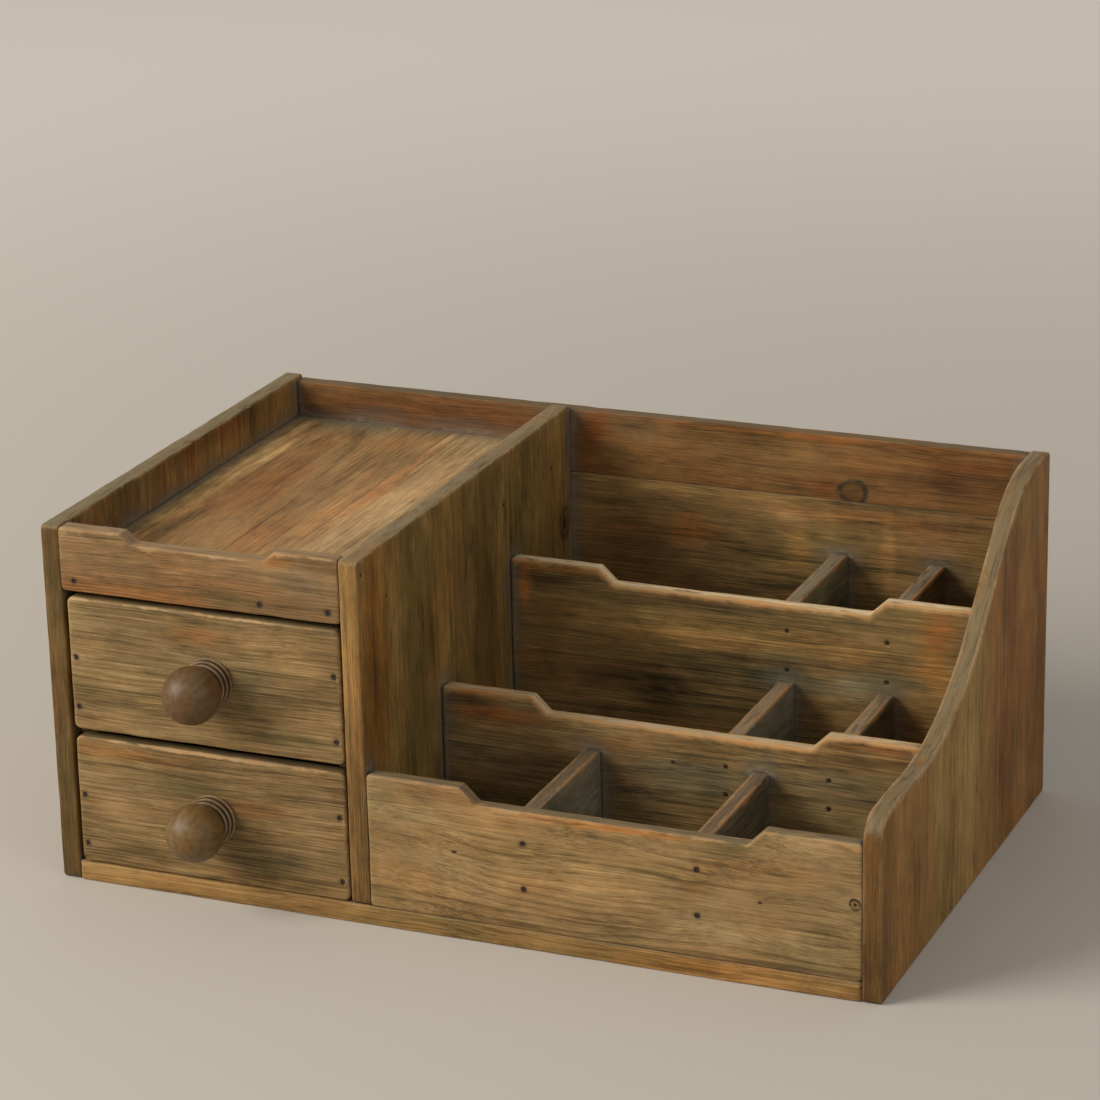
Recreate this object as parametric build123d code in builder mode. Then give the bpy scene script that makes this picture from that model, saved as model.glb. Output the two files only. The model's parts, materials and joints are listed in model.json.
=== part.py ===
"""Wooden desk organizer: two drawers under a shallow tray, beside a stepped rack of open cells.

Millimetres, +Z up. The origin is on the floor, at the centre of the carcass footprint.
+X runs to the right, and the drawers open towards -Y.
"""
import os

from build123d import *

os.makedirs("parts", exist_ok=True)

# Carcass
width = 380.0
depth = 240.0
side_height = 165.0
right_drop = 1.0
back_drop = 2.0
drawer_bay_width = 133.0

# Board thicknesses
side_thickness = 8.5
middle_thickness = 9.0
base_thickness = 9.0
back_thickness = 7.0
step_thickness = 7.0
divider_thickness = 7.5
tray_front_thickness = 8.0
tray_floor_thickness = 9.5

# Softened arris of every board, and of the corners that a hand meets
edge_round = 1.0
corner_round = 2.0

# Swept top of the right panel: low at the front, straight rise between two arcs
sweep_front_height = 82.0
sweep_foot = 103.0
sweep_shoulder = 199.0
sweep_front_radius = 12.0
sweep_foot_radius = 139.0
sweep_shoulder_radius = 65.0

# Back: two planks, one above the other
upper_plank_height = 30.6

# Stepped boards of the rack, with a hand notch in each top edge
step_pitch = 79.2
front_board_height = 70.0
middle_step_height = 81.2
rear_step_height = 114.3
notch_depth = 7.0
notch_run = 7.2
notch_left_margin = 43.2
notch_right_margin = 42.2

# Dividers between the steps, placed across the rack
front_divider_height = 61.0
middle_divider_height = 71.5
rear_divider_height = 106.8
front_divider_shares = (0.325, 0.677)
rear_divider_shares = (0.603, 0.814)

# Drawers, which share the height between the base and the tray
drawer_front_thickness = 8.0
drawer_front_lift = 0.4
drawer_left_gap = 2.0
drawer_right_gap = 0.8
drawer_top_gap = 2.7
drawer_between_gap = 3.4
upper_front_overhang = 1.6
drawer_stop_gap = 0.5
drawer_box_drop = 13.5
drawer_side_thickness = 6.0
drawer_bottom_thickness = 3.0
drawer_bottom_lift = 1.5

# Runners under the upper drawer
runner_width = 8.0
runner_height = 8.0
runner_setback = 1.0

# Tray on top of the drawers
tray_rim_height = 19.4
tray_seam_share = 0.615
tray_notch_depth = 4.6
tray_notch_run = 5.0
tray_notch_margin = 30.0

# Turned knobs: a ball on a neck of beads
knob_ball_diameter = 25.5
knob_reach = 30.0
bead_count = 3
bead_diameter = 21.0
bead_taper = 0.7
bead_pitch = 2.6
bead_width = 2.0
bead_rise = 0.8
groove_diameter = 16.0
upper_knob_shift = 3.0
lower_knob_shift = 1.0

# Knob screws
screw_diameter = 4.0
screw_length = 20.0
screw_head_diameter = 8.0
screw_head_height = 2.6
screw_slot_width = 1.0
screw_slot_depth = 1.2
screw_clearance = 0.1
screw_bore_spare = 1.5

# Nails, set a little below the surface
nail_length = 18.0
runner_nail_length = 14.0
nail_diameter = 1.5
nail_head_diameter = 2.6
nail_head_height = 0.8
nail_point = 1.5
nail_set = 0.5
nail_clearance = 0.05

# Where the nails are, along the boards that they hold
base_nail_shares = (0.15, 0.5, 0.85)
floor_nail_shares = (0.12, 0.66, 0.9)
tray_nail_shares = (0.05, 0.72, 0.96)
tray_front_nail_share = 0.65
lower_plank_nail_shares = (0.25, 0.75)
upper_plank_nail_share = 0.5
front_nail_shares = (0.36, 0.76)
middle_nail_shares = (0.62, 0.83)
rear_nail_shares = (0.69, 0.88)
step_end_nail_shares = (0.3, 0.75)
back_base_nail_shares = (0.2, 0.6, 0.85)
back_floor_nail_shares = (0.25, 0.85)
back_divider_nail_share = 0.5
runner_nail_shares = (0.1, 0.5, 0.9)
drawer_left_nail_shares = (0.2, 0.7)
drawer_right_nail_shares = (0.2, 0.845)
drawer_back_nail_shares = (0.25, 0.75)
drawer_bottom_nail_shares = (0.3, 0.7)

# Planes of the boards' faces
left = -width / 2
right = width / 2
front = -depth / 2
back = depth / 2
bay_left = left + side_thickness
bay_right = bay_left + drawer_bay_width
rack_left = bay_right + middle_thickness
rack_right = right - side_thickness
rack_width = rack_right - rack_left
middle_centre = (bay_right + rack_left) / 2
back_inner = back - back_thickness
back_centre = (back_inner + back) / 2
inner_depth = back_inner - front

right_height = side_height - right_drop
back_height = side_height - back_drop
back_seam_height = back_height - upper_plank_height
tray_top = side_height - tray_rim_height
tray_bottom = tray_top - tray_floor_thickness
tray_floor_centre = (tray_bottom + tray_top) / 2
drawer_gaps = drawer_front_lift + drawer_between_gap + upper_front_overhang + drawer_top_gap
drawer_front_height = (tray_bottom - base_thickness - drawer_gaps) / 2
drawer_box_height = drawer_front_height - drawer_box_drop
upper_level = base_thickness + drawer_front_height + drawer_between_gap + upper_front_overhang
tray_seam = bay_left + tray_seam_share * drawer_bay_width
tray_floor_front = front + tray_front_thickness
base_centre = base_thickness / 2

front_step = front
middle_step = front + step_pitch
rear_step = middle_step + step_pitch

FACING_FRONT = (0, -1, 0)
FACING_BACK = (0, 1, 0)
FACING_LEFT = (-1, 0, 0)
FACING_RIGHT = (1, 0, 0)
FACING_DOWN = (0, 0, -1)


def along(start, length, shares):
    """Places at the given shares of a length."""
    return [start + share * length for share in shares]


def spots(facing, xs, ys, zs):
    """Nail places on a face: every combination of the given coordinates."""
    return [Plane(origin=(x, y, z), z_dir=facing) for x in xs for y in ys for z in zs]


def save(piece, label):
    """Name a finished piece and write it out."""
    piece.part.label = label
    export_step(piece.part, f"parts/{label}.step")


def nail_holes(places, length=nail_length):
    """Holes for nails in the board that is being made."""
    with Locations(*places):
        CounterBoreHole(
            nail_diameter / 2 + nail_clearance,
            nail_head_diameter / 2 + nail_clearance,
            nail_set + nail_head_height,
            depth=length + nail_clearance,
        )


def board(low, high, places=(), short_places=()):
    """A plain board between two corners, with softened edges and holes for long and short nails."""
    with BuildPart() as piece:
        with Locations(low):
            Box(*(b - a for a, b in zip(low, high)), align=(Align.MIN, Align.MIN, Align.MIN))
        fillet(piece.edges(), edge_round)
        if places:
            nail_holes(places)
        if short_places:
            nail_holes(short_places, runner_nail_length)
    return piece


def notched_board(low, high, notch, places):
    """A board with a hand notch in its top edge: the notch is (left margin, right margin, run, depth)."""
    left_margin, right_margin, run, sink = notch
    x0, y0, z0 = low
    x1, y1, z1 = high
    outline = [
        (x0, z0),
        (x1, z0),
        (x1, z1),
        (x1 - right_margin, z1),
        (x1 - right_margin - run, z1 - sink),
        (x0 + left_margin + run, z1 - sink),
        (x0 + left_margin, z1),
        (x0, z1),
    ]
    radii = [0, 0, 0, corner_round, corner_round, corner_round, corner_round, 0]
    with BuildPart() as piece:
        with BuildSketch(Plane.XZ.offset(-y1)):
            with BuildLine():
                FilletPolyline(*outline, radius=radii, close=True)
            make_face()
        extrude(amount=y1 - y0)
        fillet(piece.edges(), edge_round)
        nail_holes(places)
    return piece


def nails(places, length=nail_length):
    """A group of nails, their heads set below the face, at the given places."""
    top = -nail_set
    neck = top - nail_head_height
    tip = -length
    shank_radius = nail_diameter / 2
    with BuildPart() as single:
        with BuildSketch(Plane.XZ):
            with BuildLine():
                Polyline(
                    (0, top),
                    (nail_head_diameter / 2, top),
                    (nail_head_diameter / 2, neck),
                    (shank_radius, neck),
                    (shank_radius, tip + nail_point),
                    (0, tip),
                    close=True,
                )
            make_face()
        revolve(axis=Axis.Z)
    with BuildPart() as group:
        with Locations(*places):
            add(single.part)
    return group


# Nails of the carcass, by the board that they are driven through
base_ys = along(front, inner_depth, base_nail_shares)
floor_ys = along(front, inner_depth, floor_nail_shares)
lower_plank_zs = along(0, back_seam_height, lower_plank_nail_shares)
upper_plank_z = back_seam_height + upper_plank_nail_share * (back_height - back_seam_height)
plank_zs = [*lower_plank_zs, upper_plank_z]
tray_front_z = tray_top + tray_front_nail_share * (side_height - tray_top)
tray_front_centre = front + tray_front_thickness / 2

step_ends = []
for step_y, step_height in (
    (front_step, front_board_height),
    (middle_step, middle_step_height),
    (rear_step, rear_step_height),
):
    end_zs = along(base_thickness, step_height - base_thickness, step_end_nail_shares)
    step_ends.append(([step_y + step_thickness / 2], end_zs))

left_spots = [
    *spots(FACING_LEFT, [left], base_ys, [base_centre]),
    *spots(FACING_LEFT, [left], floor_ys, [tray_floor_centre]),
    *spots(FACING_LEFT, [left], [back_centre], plank_zs),
    *spots(FACING_LEFT, [left], [tray_front_centre], [tray_front_z]),
]
right_spots = [
    *spots(FACING_RIGHT, [right], base_ys, [base_centre]),
    *spots(FACING_RIGHT, [right], [back_centre], plank_zs),
]
middle_spots = [
    *spots(FACING_RIGHT, [rack_left], floor_ys, [tray_floor_centre]),
    *spots(FACING_RIGHT, [rack_left], [tray_front_centre], [tray_front_z]),
]
for end_ys, end_zs in step_ends:
    right_spots += spots(FACING_RIGHT, [right], end_ys, end_zs)
    middle_spots += spots(FACING_LEFT, [bay_right], end_ys, end_zs)

base_spots = spots(FACING_DOWN, [middle_centre], base_ys, [0])
tray_spots = spots(
    FACING_FRONT, along(bay_left, drawer_bay_width, tray_nail_shares), [front], [tray_floor_centre]
)

front_divider_xs = along(rack_left, rack_width, front_divider_shares)
rear_divider_xs = along(rack_left, rack_width, rear_divider_shares)


def divider_spots(xs, step_y, divider_height, shares):
    """Nails through a step board into the front ends of the dividers behind it."""
    return spots(FACING_FRONT, xs, [step_y], along(base_thickness, divider_height - base_thickness, shares))


front_spots = divider_spots(front_divider_xs, front_step, front_divider_height, front_nail_shares)
middle_step_spots = divider_spots(rear_divider_xs, middle_step, middle_divider_height, middle_nail_shares)
rear_step_spots = divider_spots(rear_divider_xs, rear_step, rear_divider_height, rear_nail_shares)

back_spots = [
    *spots(FACING_BACK, [middle_centre], [back], plank_zs),
    *spots(FACING_BACK, along(left, width, back_base_nail_shares), [back], [base_centre]),
    *spots(FACING_BACK, along(bay_left, drawer_bay_width, back_floor_nail_shares), [back], [tray_floor_centre]),
    *spots(FACING_BACK, rear_divider_xs, [back], [back_divider_nail_share * rear_divider_height]),
]

runner_top = upper_level
runner_bottom = runner_top - runner_height
runner_centre = (runner_top + runner_bottom) / 2
runner_front = front + drawer_front_thickness + runner_setback
runner_ys = along(runner_front, back_inner - runner_front, runner_nail_shares)
left_runner_spots = spots(FACING_RIGHT, [bay_left + runner_width], runner_ys, [runner_centre])
right_runner_spots = spots(FACING_LEFT, [bay_right - runner_width], runner_ys, [runner_centre])

# Left panel
left_panel = board((left, front, 0), (bay_left, back, side_height), left_spots, left_runner_spots)
save(left_panel, "left_panel")

# Middle panel, on the base
middle_panel = board(
    (bay_right, front, base_thickness),
    (rack_left, back_inner, side_height),
    middle_spots + base_spots + back_spots,
    right_runner_spots,
)
save(middle_panel, "middle_panel")

# Right panel, with its swept top edge
with BuildPart() as right_panel:
    with BuildSketch(Plane.YZ.offset(rack_right)):
        with BuildLine():
            FilletPolyline(
                (front, 0),
                (back, 0),
                (back, right_height),
                (front + sweep_shoulder, right_height),
                (front + sweep_foot, sweep_front_height),
                (front, sweep_front_height),
                radius=[0, 0, corner_round, sweep_shoulder_radius, sweep_foot_radius, sweep_front_radius],
                close=True,
            )
        make_face()
    extrude(amount=side_thickness)
    fillet(right_panel.edges(), edge_round)
    nail_holes(right_spots)
save(right_panel, "right_panel")

# Base and the two planks of the back
base_board = board(
    (bay_left, front, 0),
    (rack_right, back_inner, base_thickness),
    left_spots + right_spots + base_spots + back_spots,
)
save(base_board, "base_board")

plank_spots = left_spots + right_spots + back_spots
back_plank_lower = board((bay_left, back_inner, 0), (rack_right, back, back_seam_height), plank_spots)
save(back_plank_lower, "back_plank_lower")
back_plank_upper = board((bay_left, back_inner, back_seam_height), (rack_right, back, back_height), plank_spots)
save(back_plank_upper, "back_plank_upper")

# Tray over the drawers
floor_spots = left_spots + middle_spots + tray_spots + back_spots
tray_floor_left = board(
    (bay_left, tray_floor_front, tray_bottom), (tray_seam, back_inner, tray_top), floor_spots
)
save(tray_floor_left, "tray_floor_left")
tray_floor_right = board(
    (tray_seam, tray_floor_front, tray_bottom), (bay_right, back_inner, tray_top), floor_spots
)
save(tray_floor_right, "tray_floor_right")
tray_front = notched_board(
    (bay_left, front, tray_bottom),
    (bay_right, tray_floor_front, side_height),
    (tray_notch_margin, tray_notch_margin, tray_notch_run, tray_notch_depth),
    tray_spots + left_spots + middle_spots,
)
save(tray_front, "tray_front")

# Stepped boards of the rack
step_notch = (notch_left_margin, notch_right_margin, notch_run, notch_depth)
step_boards = {
    "front_board": (front_step, front_board_height, front_spots),
    "middle_step_board": (middle_step, middle_step_height, middle_step_spots),
    "rear_step_board": (rear_step, rear_step_height, rear_step_spots),
}
for label, (step_y, step_height, own_spots) in step_boards.items():
    step_board = notched_board(
        (rack_left, step_y, base_thickness),
        (rack_right, step_y + step_thickness, step_height),
        step_notch,
        own_spots + middle_spots + right_spots,
    )
    save(step_board, label)

# Dividers between the stepped boards
divider_rows = {
    "front_divider": (front_divider_xs, front_step, middle_step, front_divider_height, front_spots),
    "middle_divider": (rear_divider_xs, middle_step, rear_step, middle_divider_height, middle_step_spots),
    "rear_divider": (rear_divider_xs, rear_step, back_inner, rear_divider_height, rear_step_spots + back_spots),
}
for label, (centres, step_y, far_y, divider_height, own_spots) in divider_rows.items():
    for side, centre in zip(("left", "right"), centres):
        divider = board(
            (centre - divider_thickness / 2, step_y + step_thickness, base_thickness),
            (centre + divider_thickness / 2, far_y, divider_height),
            own_spots,
        )
        save(divider, f"{label}_{side}")

# Runners that carry the upper drawer
left_runner = board(
    (bay_left, runner_front, runner_bottom),
    (bay_left + runner_width, back_inner, runner_top),
    short_places=left_runner_spots,
)
save(left_runner, "left_runner")
right_runner = board(
    (bay_right - runner_width, runner_front, runner_bottom),
    (bay_right, back_inner, runner_top),
    short_places=right_runner_spots,
)
save(right_runner, "right_runner")

# Nails of the carcass
nail_groups = {
    "left_panel_nails": left_spots,
    "middle_panel_nails": middle_spots,
    "right_panel_nails": right_spots,
    "base_nails": base_spots,
    "back_nails": back_spots,
    "tray_front_nails": tray_spots,
    "front_board_nails": front_spots,
    "middle_step_nails": middle_step_spots,
    "rear_step_nails": rear_step_spots,
}
for label, places in nail_groups.items():
    save(nails(places), label)
save(nails(left_runner_spots + right_runner_spots, runner_nail_length), "runner_nails")


def turned_knob(face):
    """A knob turned about the face plane's normal, with a bore for its screw."""
    ball_radius = knob_ball_diameter / 2
    ball_centre = knob_reach - ball_radius
    neck_length = bead_count * bead_pitch
    neck_radius = (ball_radius**2 - (ball_centre - neck_length) ** 2) ** 0.5
    with BuildPart() as knob:
        with BuildSketch(Plane.XZ):
            with BuildLine():
                corner = (0, 0)
                for index in range(bead_count):
                    start = index * bead_pitch
                    crest = bead_diameter / 2 - index * bead_taper
                    shoulder = crest - bead_rise
                    end = start + bead_width
                    Line(corner, (shoulder, start))
                    ThreePointArc((shoulder, start), (crest, (start + end) / 2), (shoulder, end))
                    Line((shoulder, end), (groove_diameter / 2, end))
                    corner = (groove_diameter / 2, start + bead_pitch)
                    Line((groove_diameter / 2, end), corner)
                Line(corner, (neck_radius, neck_length))
                ThreePointArc(
                    (neck_radius, neck_length), (ball_radius, ball_centre), (0, knob_reach)
                )
                Line((0, knob_reach), (0, 0))
            make_face()
        revolve(axis=Axis.Z)
        with Locations(Plane(origin=(0, 0, 0), z_dir=FACING_DOWN)):
            Hole(screw_diameter / 2 + screw_clearance, depth=screw_length - drawer_front_thickness + screw_bore_spare)
    with BuildPart() as placed:
        with Locations(face):
            add(knob.part)
    return placed


def knob_screw(seat):
    """A round-headed screw whose head sits on the seat plane and whose shank runs into it."""
    with BuildPart() as screw:
        with BuildSketch(Plane.XY):
            Circle(screw_head_diameter / 2)
        extrude(amount=screw_head_height)
        fillet(screw.edges().sort_by(Axis.Z)[-1], screw_head_height / 2)
        with BuildSketch(Plane.XY.offset(screw_head_height)):
            Rectangle(screw_head_diameter, screw_slot_width)
        extrude(amount=-screw_slot_depth, mode=Mode.SUBTRACT)
        with BuildSketch(Plane.XY):
            Circle(screw_diameter / 2)
        extrude(amount=-screw_length)
    with BuildPart() as placed:
        with Locations(seat):
            add(screw.part)
    return placed


def drawer(prefix, level, overhang, knob_shift):
    """One drawer whose box stands on the given level, with a front that may hang below it."""
    x0 = bay_left + drawer_left_gap
    x1 = bay_right - drawer_right_gap
    inner_left = x0 + drawer_side_thickness
    inner_right = x1 - drawer_side_thickness
    box_front = front + drawer_front_thickness
    box_back = back_inner - drawer_stop_gap
    back_front = box_back - drawer_side_thickness
    box_top = level + drawer_box_height
    front_bottom = level + drawer_front_lift - overhang
    front_top = level + drawer_front_lift + drawer_front_height
    bottom_low = level + drawer_bottom_lift
    bottom_high = bottom_low + drawer_bottom_thickness
    knob_x = (x0 + x1) / 2 + knob_shift
    knob_z = (front_bottom + front_top) / 2
    side_centre = drawer_side_thickness / 2

    left_zs = along(level, drawer_box_height, drawer_left_nail_shares)
    right_zs = along(level, drawer_box_height, drawer_right_nail_shares)
    front_places = [
        *spots(FACING_FRONT, [x0 + side_centre], [front], left_zs),
        *spots(FACING_FRONT, [x1 - side_centre], [front], right_zs),
    ]
    back_zs = along(level, drawer_box_height, drawer_back_nail_shares)
    bottom_ys = along(box_front, back_front - box_front, drawer_bottom_nail_shares)
    bottom_z = (bottom_low + bottom_high) / 2
    side_places = []
    for facing, x in ((FACING_LEFT, x0), (FACING_RIGHT, x1)):
        side_places += spots(facing, [x], [box_back - side_centre], back_zs)
        side_places += spots(facing, [x], bottom_ys, [bottom_z])
    places = front_places + side_places

    with BuildPart() as face_board:
        with BuildSketch(Plane.XZ.offset(-box_front)):
            with Locations((knob_x - knob_shift, knob_z)):
                RectangleRounded(x1 - x0, front_top - front_bottom, corner_round)
        extrude(amount=drawer_front_thickness)
        fillet(face_board.edges(), edge_round)
        with Locations(Plane(origin=(knob_x, front, knob_z), z_dir=FACING_FRONT)):
            Hole(screw_diameter / 2 + screw_clearance)
        nail_holes(front_places)
    save(face_board, f"{prefix}_front")

    left_side = board((x0, box_front, level), (inner_left, box_back, box_top), places)
    save(left_side, f"{prefix}_left_side")
    right_side = board((inner_right, box_front, level), (x1, box_back, box_top), places)
    save(right_side, f"{prefix}_right_side")
    back_board = board((inner_left, back_front, level), (inner_right, box_back, box_top), places)
    save(back_board, f"{prefix}_back")
    bottom_board = board((inner_left, box_front, bottom_low), (inner_right, back_front, bottom_high), places)
    save(bottom_board, f"{prefix}_bottom")

    save(turned_knob(Plane(origin=(knob_x, front, knob_z), z_dir=FACING_FRONT)), f"{prefix}_knob")
    save(knob_screw(Plane(origin=(knob_x, box_front, knob_z), z_dir=FACING_BACK)), f"{prefix}_knob_screw")
    save(nails(places), f"{prefix}_nails")


drawer("upper_drawer", upper_level, upper_front_overhang, upper_knob_shift)
drawer("lower_drawer", base_thickness, 0, lower_knob_shift)
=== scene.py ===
"""Looks of the wooden desk organizer: worn boards, turned knobs and nails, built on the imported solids.

The scene is in metres, in the frame of the solids: +X right, -Y front, +Z up. Sizes of the boards are
named in millimetres, and MM turns them into metres.
"""
import functools
import json
import math

import bmesh
import bpy
import numpy as np
from mathutils import Matrix, Vector, geometry, kdtree, noise
from numpy.linalg import norm


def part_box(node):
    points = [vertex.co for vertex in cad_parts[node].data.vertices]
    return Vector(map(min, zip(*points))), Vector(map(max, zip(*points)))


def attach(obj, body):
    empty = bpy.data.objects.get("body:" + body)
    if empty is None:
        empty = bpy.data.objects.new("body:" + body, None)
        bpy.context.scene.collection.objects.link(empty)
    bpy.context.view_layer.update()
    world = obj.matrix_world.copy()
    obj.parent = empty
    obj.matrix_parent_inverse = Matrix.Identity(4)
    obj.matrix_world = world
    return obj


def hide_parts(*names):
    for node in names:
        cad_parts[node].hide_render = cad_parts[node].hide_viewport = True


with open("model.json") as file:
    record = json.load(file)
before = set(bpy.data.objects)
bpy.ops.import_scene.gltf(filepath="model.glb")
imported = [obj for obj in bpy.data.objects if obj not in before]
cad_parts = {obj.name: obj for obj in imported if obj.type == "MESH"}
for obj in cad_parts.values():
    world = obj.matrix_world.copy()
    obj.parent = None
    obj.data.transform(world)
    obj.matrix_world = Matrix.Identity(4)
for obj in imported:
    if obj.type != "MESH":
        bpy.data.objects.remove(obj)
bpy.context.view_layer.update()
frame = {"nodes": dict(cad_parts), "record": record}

MM = 0.001
X, Y, Z = range(3)

# Photograph's view: where the camera stands and how it is turned
camera_place = (633.38, -1496.48, 706.96)
camera_azimuth = math.radians(23.043)
camera_elevation = math.radians(19.378)
camera_roll = math.radians(-1.3232)
camera_lens = 127.92
camera_sensor = 36.0

# Outlines of the boards that aren't plain rectangles, in millimetres
corner_round = 2.0
step_notch = {"left": 43.2, "right": 42.2, "run": 7.2, "sink": 7.0}
tray_notch = {"left": 30.0, "right": 30.0, "run": 5.0, "sink": 4.6}
sweep_front_height = 82.0
sweep_foot = 103.0
sweep_shoulder = 199.0
sweep_front_radius = 12.0
sweep_foot_radius = 139.0
sweep_shoulder_radius = 65.0

# Mesh of a board: spacing of its points, and how far its faces and edges stray inwards
rim_spacing = 2.0
face_spacing = 5.0
ring_insets = (2.6, 5.5)
ring_keep = 0.96
face_margin = 8.0
face_wave = 0.12
face_wave_length = 70.0
rim_dent = 1.0
rim_dent_length = 11.0
rim_dent_share = 0.45
rim_dent_power = 1.5
arris_angles = (0, 30, 60, 90)
arris_length = 17.0
arris_margin = 0.2
board_wear = (0.5, 1.1)
far_away = 99.0

# Steps in the noise from one board, face or arris to the next, so that no two are alike
seed_steps = (1.0, 0.37, 0.71)
face_step = 90.0
arris_step = 50.0
arris_seed_step = 3
grain_steps = (173.0, 61.0, 29.0)
knob_grain_step = 37.0
knob_turn_step = 9.0

# Nail marks: a dimple that shows the head at its bottom
nail_rings = ((0.0, 1), (0.5, 6), (0.85, 9), (1.2, 10), (2.1, 10))
nail_dimple_reach = (0.0, 0.75, 1.15, 2.1)
nail_dimple_depth = (0.8, 0.75, 0.12, 0.0)
nail_keep_off = 3.0
nail_near_face = 1.2
nail_weld = 0.02
nail_head_share = 0.9

# Inner corners: how far ahead of a face the next board is looked for
corner_reach = 12.0

# Colours, linear
WHITE = (1.0, 1.0, 1.0)
TONES = ("pale", "mid", "dark")
PALETTES = {
    "tan": ((0.4, 0.258, 0.106), (0.258, 0.155, 0.054), (0.12, 0.07, 0.022)),
    "olive": ((0.27, 0.172, 0.062), (0.148, 0.088, 0.028), (0.05, 0.032, 0.011)),
    "russet": ((0.31, 0.17, 0.062), (0.205, 0.104, 0.034), (0.095, 0.046, 0.015)),
    "amber": ((0.41, 0.25, 0.105), (0.28, 0.152, 0.054), (0.13, 0.068, 0.023)),
    "raw": ((0.47, 0.325, 0.165), (0.36, 0.235, 0.106), (0.215, 0.13, 0.052)),
    "grey": ((0.23, 0.16, 0.08), (0.132, 0.086, 0.038), (0.05, 0.035, 0.016)),
}
# Near-black for soot, knot rings and chips, and for the painted shade along the seams of inner corners
soot_and_shade = (0.022, 0.018, 0.01)
# Pale bands on the worn arrises: partly bare wood, partly a painted highlight
worn_cream_and_highlight = (0.47, 0.32, 0.155)
worn_gold_and_highlight = (0.44, 0.275, 0.11)
# Grey of the band in the inner corners: partly dust, partly painted shade
dust_and_shade = (0.125, 0.108, 0.078)
pale_dust = (0.23, 0.2, 0.148)
rim_olive = (0.12, 0.092, 0.044)
rust_black = (0.016, 0.011, 0.007)
turned_dark = (0.09, 0.05, 0.019)
turned_pale = (0.148, 0.088, 0.034)
turned_grey = (0.11, 0.086, 0.042)
turned_red = (0.14, 0.066, 0.022)
turned_speck = (0.04, 0.028, 0.013)
# Knob grooves: painted shade. Bead crests: partly worn wood, partly a painted highlight
groove_painted_shade = (0.034, 0.019, 0.009)
crest_worn_and_highlighted = (0.33, 0.205, 0.115)
steel_dark = (0.024, 0.02, 0.017)
steel_rust = (0.048, 0.024, 0.011)

# Shine of the materials
board_gloss = 0.22
knob_gloss = 0.32
steel_metal = 0.5

# Filters, which multiply the colour under them
REDDEN = (1.1, 0.84, 0.66)
ORANGE = (1.32, 1.0, 0.7)
RUST = (0.82, 0.56, 0.42)
GREEN = (0.7, 0.8, 0.76)
DARKEN = (0.45, 0.43, 0.4)
PALE = (1.3, 1.28, 1.22)
YELLOW = (1.55, 1.5, 1.3)
GREY = (0.68, 0.8, 0.98)
BLOT = (0.36, 0.39, 0.34)
HEART = (0.75, 0.62, 0.5)
MOTTLE_DARK = (0.72, 0.75, 0.76)
MOTTLE_PALE = (1.18, 1.16, 1.12)
RIM_SHADE = (0.5, 0.48, 0.46)


def box_mm(node):
    """Lowest and highest corner of a solid, in millimetres."""
    low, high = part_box(node)
    return np.array(low) / MM, np.array(high) / MM


def wander(place, length, seed):
    """Smooth noise from 0 to 1 that strays over about that length."""
    shift = Vector([seed * step for step in seed_steps])
    return 0.5 + 0.5 * noise.noise(Vector(place) / length + shift)


# Nail heads, read from the solids
def shells(mesh):
    """Points of each separate shell of a mesh, in millimetres."""
    left = dict.fromkeys(mesh.verts)
    while left:
        shell = [left.popitem()[0]]
        for vert in shell:
            for edge in vert.link_edges:
                other = edge.other_vert(vert)
                if other in left:
                    del left[other]
                    shell.append(other)
        yield np.array([v.co for v in shell]) / MM


def nail_heads():
    """Each nail's head: its place, its axis, which way it faces, and its node."""
    heads = []
    for name, node in frame["nodes"].items():
        if not name.endswith("nails"):
            continue
        mesh = bmesh.new()
        mesh.from_mesh(node.data)
        bmesh.ops.remove_doubles(mesh, verts=mesh.verts, dist=nail_weld * MM)
        for points in shells(mesh):
            low, high = points.min(0), points.max(0)
            axis = int(np.argmax(high - low))
            across = [a for a in range(3) if a != axis]
            middle = (low + high) / 2
            far = norm((points - middle)[:, across], axis=1)
            head = points[far > nail_head_share * far.max(), axis]
            outward = 1 if head.mean() > middle[axis] else -1
            place = middle.copy()
            place[axis] = head.max() if outward > 0 else head.min()
            heads.append((place, axis, outward, name))
        mesh.free()
    return heads


NAIL_HEADS = nail_heads()


def nails_on(face_axis, outward, level, filled):
    """Places of the nail heads that show on a face."""
    return [
        place
        for place, axis, facing, name in NAIL_HEADS
        if (axis, facing) == (face_axis, outward)
        and abs(place[axis] - level) < nail_near_face
        and name not in filled
    ]


# Outlines: corners are (u, v, radius), counterclockwise
def rectangle(low, high, radius):
    """A plain board."""
    (u0, v0), (u1, v1) = low, high
    return [(u0, v0, radius), (u1, v0, radius), (u1, v1, radius), (u0, v1, radius)]


def notched(low, high, radius, notch):
    """A board with a wide notch with sloping ends in its top edge."""
    *others, last = rectangle(low, high, radius)
    start = low[0] + notch["left"]
    end = high[0] - notch["right"]
    top = high[1]
    floor = top - notch["sink"]
    return [
        *others,
        (end, top, corner_round),
        (end - notch["run"], floor, corner_round),
        (start + notch["run"], floor, corner_round),
        (start, top, corner_round),
        last,
    ]


def swept(low, high, radius):
    """The right panel, whose top edge sweeps down to the front."""
    (u0, v0), (u1, v1) = low, high
    return [
        (u0, v0, radius),
        (u1, v0, radius),
        (u1, v1, corner_round),
        (u0 + sweep_shoulder, v1, sweep_shoulder_radius),
        (u0 + sweep_foot, sweep_front_height, sweep_foot_radius),
        (u0, sweep_front_height, sweep_front_radius),
    ]


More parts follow.
